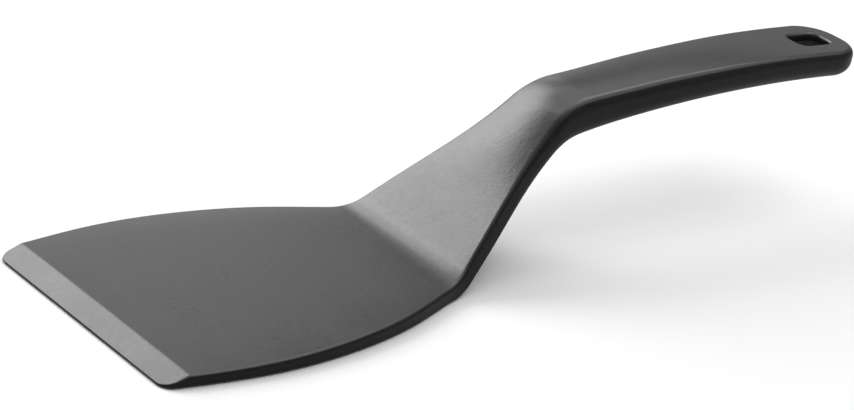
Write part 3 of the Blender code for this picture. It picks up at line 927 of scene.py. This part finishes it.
# %% Build the cutter
def hole_cutter():
    """The hanging hole as a solid, flared where it meets both faces."""
    top_level = read_line(ABOVE, HOLE_PLACE)
    under_level = read_line(BELOW, HOLE_PLACE)
    turns = [math.pi / 2 * i / RIM_STEPS for i in range(RIM_STEPS + 1)]
    levels = [(top_level + HOLE_RIM, HOLE_RIM)]
    levels += [(top_level - HOLE_RIM * (1 - math.cos(t)), HOLE_RIM * (1 - math.sin(t)))
               for t in turns]
    levels += [(under_level + top_level - level, grow) for level, grow in reversed(levels)]
    work = bmesh.new()
    loops = []
    for level, grow in levels:
        shape = rounded_rectangle(HOLE_LENGTH + 2 * grow, HOLE_WIDTH + 2 * grow,
                                  HOLE_CORNER + grow)
        loops.append([work.verts.new(HOLE_CENTRE + HOLE_ALONG * x + Vector((0.0, y, 0.0))
                                     + HOLE_UP * level) for x, y in shape])
    for first, second in zip(loops[:-1], loops[1:]):
        for i in range(len(first)):
            j = (i + 1) % len(first)
            work.faces.new((first[i], first[j], second[j], second[i]))
    work.faces.new(loops[0])
    work.faces.new(loops[-1])
    bmesh.ops.recalc_face_normals(work, faces=work.faces)
    mesh = bpy.data.meshes.new("hole_cutter")
    work.to_mesh(mesh)
    work.free()
    # Below its rim the hole's wall takes the darker matt finish: painted shade, as on the outer
    # walls.
    mesh.materials.append(body_finish)
    mesh.materials.append(shaded_wall_finish)
    for face in mesh.polygons:
        above_wall = (face.center - HOLE_CENTRE).dot(HOLE_UP) > top_level - HOLE_RIM
        face.material_index = 0 if above_wall else 1
    return link("hole_cutter", mesh)


hole = hole_cutter()
print("faces of the cutter:", len(hole.data.polygons))


# %% Cut the hole and the pocket
def cut(target, cutters):
    """Takes the cutters out of the target and keeps the result as a plain mesh."""
    for cutter in cutters:
        modifier = target.modifiers.new("cut", "BOOLEAN")
        modifier.operation = "DIFFERENCE"
        modifier.solver = "EXACT"
        modifier.material_mode = "TRANSFER"
        modifier.object = cutter
    mesh = plain_mesh(target, target.name)
    target.modifiers.clear()
    target.data = mesh
    print(target.name, "faces after the cut:", len(mesh.polygons))


cut(body, [pocket, hole])
for place in range(len(hole.data.materials)):
    hole.data.materials[place] = core_finish
cut(core, [hole])
for tool in (hole, pocket):
    bpy.data.objects.remove(tool)

# %% [markdown]
# ## Smooth faces, crisp lines
# Plastic from a mould is smooth, but the line of the bevel and the edge of the hole's
# wall are crisp. Smooth shading goes over all the faces, and every edge that turns by
# more than a set angle is marked sharp. Then each piece gets the body that it rides on
# and the imported solid that it stands for.

# %% Smooth the faces and keep the crisp lines
SHARP_ANGLE = math.radians(35.0)
for piece in (body, core):
    piece.data.shade_smooth()
    piece.data.set_sharp_from_angle(angle=SHARP_ANGLE)
    print(piece.name, "materials:",
          [material.name for material in piece.data.materials if material])

# %% Tie the pieces to the frame
for piece, node, slot_name in ((body, "turner_body", "body"), (core, "handle_core", "core")):
    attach(piece, ROOT_BODY)
    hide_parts(node)
    print(piece.name, "rides on", ROOT_BODY, "and stands for", node)

# %% [markdown]
# ## The floor
# The photograph shows the turner on plain white. A flat pale sheet under it gives that
# white when the lamps light it fully, catches a soft shadow, and can be seen from any
# side. It lies a hair below the blade, so the two surfaces don't fight for one plane.

# %% Make the floor
FLOOR_COLOUR = (0.97, 0.97, 0.97, 1.0)
FLOOR_ROUGHNESS = 0.9
FLOOR_REACH = 3.0
FLOOR_DROP = 0.0004

floor_material = bpy.data.materials.new("pale_floor")
floor_material.use_nodes = True
floor_shader = floor_material.node_tree.nodes["Principled BSDF"]
floor_shader.inputs["Base Color"].default_value = FLOOR_COLOUR
floor_shader.inputs["Roughness"].default_value = FLOOR_ROUGHNESS
floor_shader.inputs["Specular IOR Level"].default_value = 0.0
floor_mesh = bpy.data.meshes.new("floor")
floor_mesh.from_pydata([(-FLOOR_REACH, -FLOOR_REACH, 0), (FLOOR_REACH, -FLOOR_REACH, 0),
                        (FLOOR_REACH, FLOOR_REACH, 0), (-FLOOR_REACH, FLOOR_REACH, 0)],
                       [], [(0, 1, 2, 3)])
floor_mesh.materials.append(floor_material)
floor = link("floor", floor_mesh)
floor.location.z = -FLOOR_DROP
print("floor:", 2 * FLOOR_REACH, "m square")

# %% [markdown]
# ## Light
# The satin plastic is nearly black, so what shows is mostly gloss, and gloss shows what
# it mirrors. Each face of the turner mirrors its own part of the room, so each gets its
# own softbox there. The key softbox, its strip and its fill stand behind the blade and
# light the bevel, the heel and the neck. The glows beside them give the blade and the
# grip their mid grey. The high softboxes are mirrored by the bend, the rim of the hole
# and the upper rounding of the edges. A faint white world lifts the rest. One large lamp
# would be simpler, but it would light all the faces alike.

# %% A lamp that covers a range of directions
CENTRE = Vector((0.09, 0.0, 0.02))
LAMP_DISTANCE = 2.5


def softbox(name, azimuths, elevations, radiance):
    """A rectangular lamp that covers a range of directions, seen from the tool's middle.

    Azimuth 0 lies along +Y and 90 along +X, in degrees, like the elevations.
    """
    azimuth = math.radians(sum(azimuths) / 2)
    elevation = math.radians(sum(elevations) / 2)
    toward = Vector((math.sin(azimuth) * math.cos(elevation),
                     math.cos(azimuth) * math.cos(elevation), math.sin(elevation)))
    half_across = math.radians(azimuths[1] - azimuths[0]) / 2 * math.cos(elevation)
    half_up = math.radians(elevations[1] - elevations[0]) / 2
    data = bpy.data.lights.new(name, "AREA")
    data.shape = "RECTANGLE"
    data.size = 2 * LAMP_DISTANCE * math.tan(half_across)
    data.size_y = 2 * LAMP_DISTANCE * math.tan(half_up)
    data.energy = radiance * math.pi * data.size * data.size_y
    lamp = bpy.data.objects.new(name, data)
    lamp.location = CENTRE + toward * LAMP_DISTANCE
    lamp.rotation_euler = (-toward).to_track_quat("-Z", "Y").to_euler()
    bpy.context.scene.collection.objects.link(lamp)
    print(name, "size", round(data.size, 2), "by", round(data.size_y, 2), "m, power",
          round(data.energy, 1), "W")


# %% Place the nine lamps
LAMPS = (
    ("key softbox", (-36.0, 12.0), (18.0, 50.0), 4.25),
    ("key strip", (-24.0, -12.0), (2.0, 66.0), 2.2),
    ("key fill", (12.0, 21.0), (10.0, 36.0), 2.2),
    ("back glow", (12.0, 60.0), (36.0, 66.0), 1.0),
    ("low back glow", (25.0, 36.5), (10.0, 26.0), 1.2),
    ("grip glow", (40.0, 60.0), (4.0, 24.0), 0.20),
    ("side softbox", (60.0, 146.0), (43.5, 74.0), 2.25),
    ("top softbox", (-60.0, 60.0), (66.0, 86.0), 1.6),
    ("overhead softbox", (110.0, 190.0), (62.0, 86.0), 1.6))
for lamp_values in LAMPS:
    softbox(*lamp_values)

# %% Light the world
WORLD_COLOUR = (1.0, 1.0, 1.0, 1.0)
WORLD_STRENGTH = 0.26
world = bpy.data.worlds.new("studio")
world.use_nodes = True
background = world.node_tree.nodes["Background"]
background.inputs["Color"].default_value = WORLD_COLOUR
background.inputs["Strength"].default_value = WORLD_STRENGTH
bpy.context.scene.world = world
bpy.context.scene.view_settings.view_transform = "Standard"
print("world strength:", WORLD_STRENGTH)
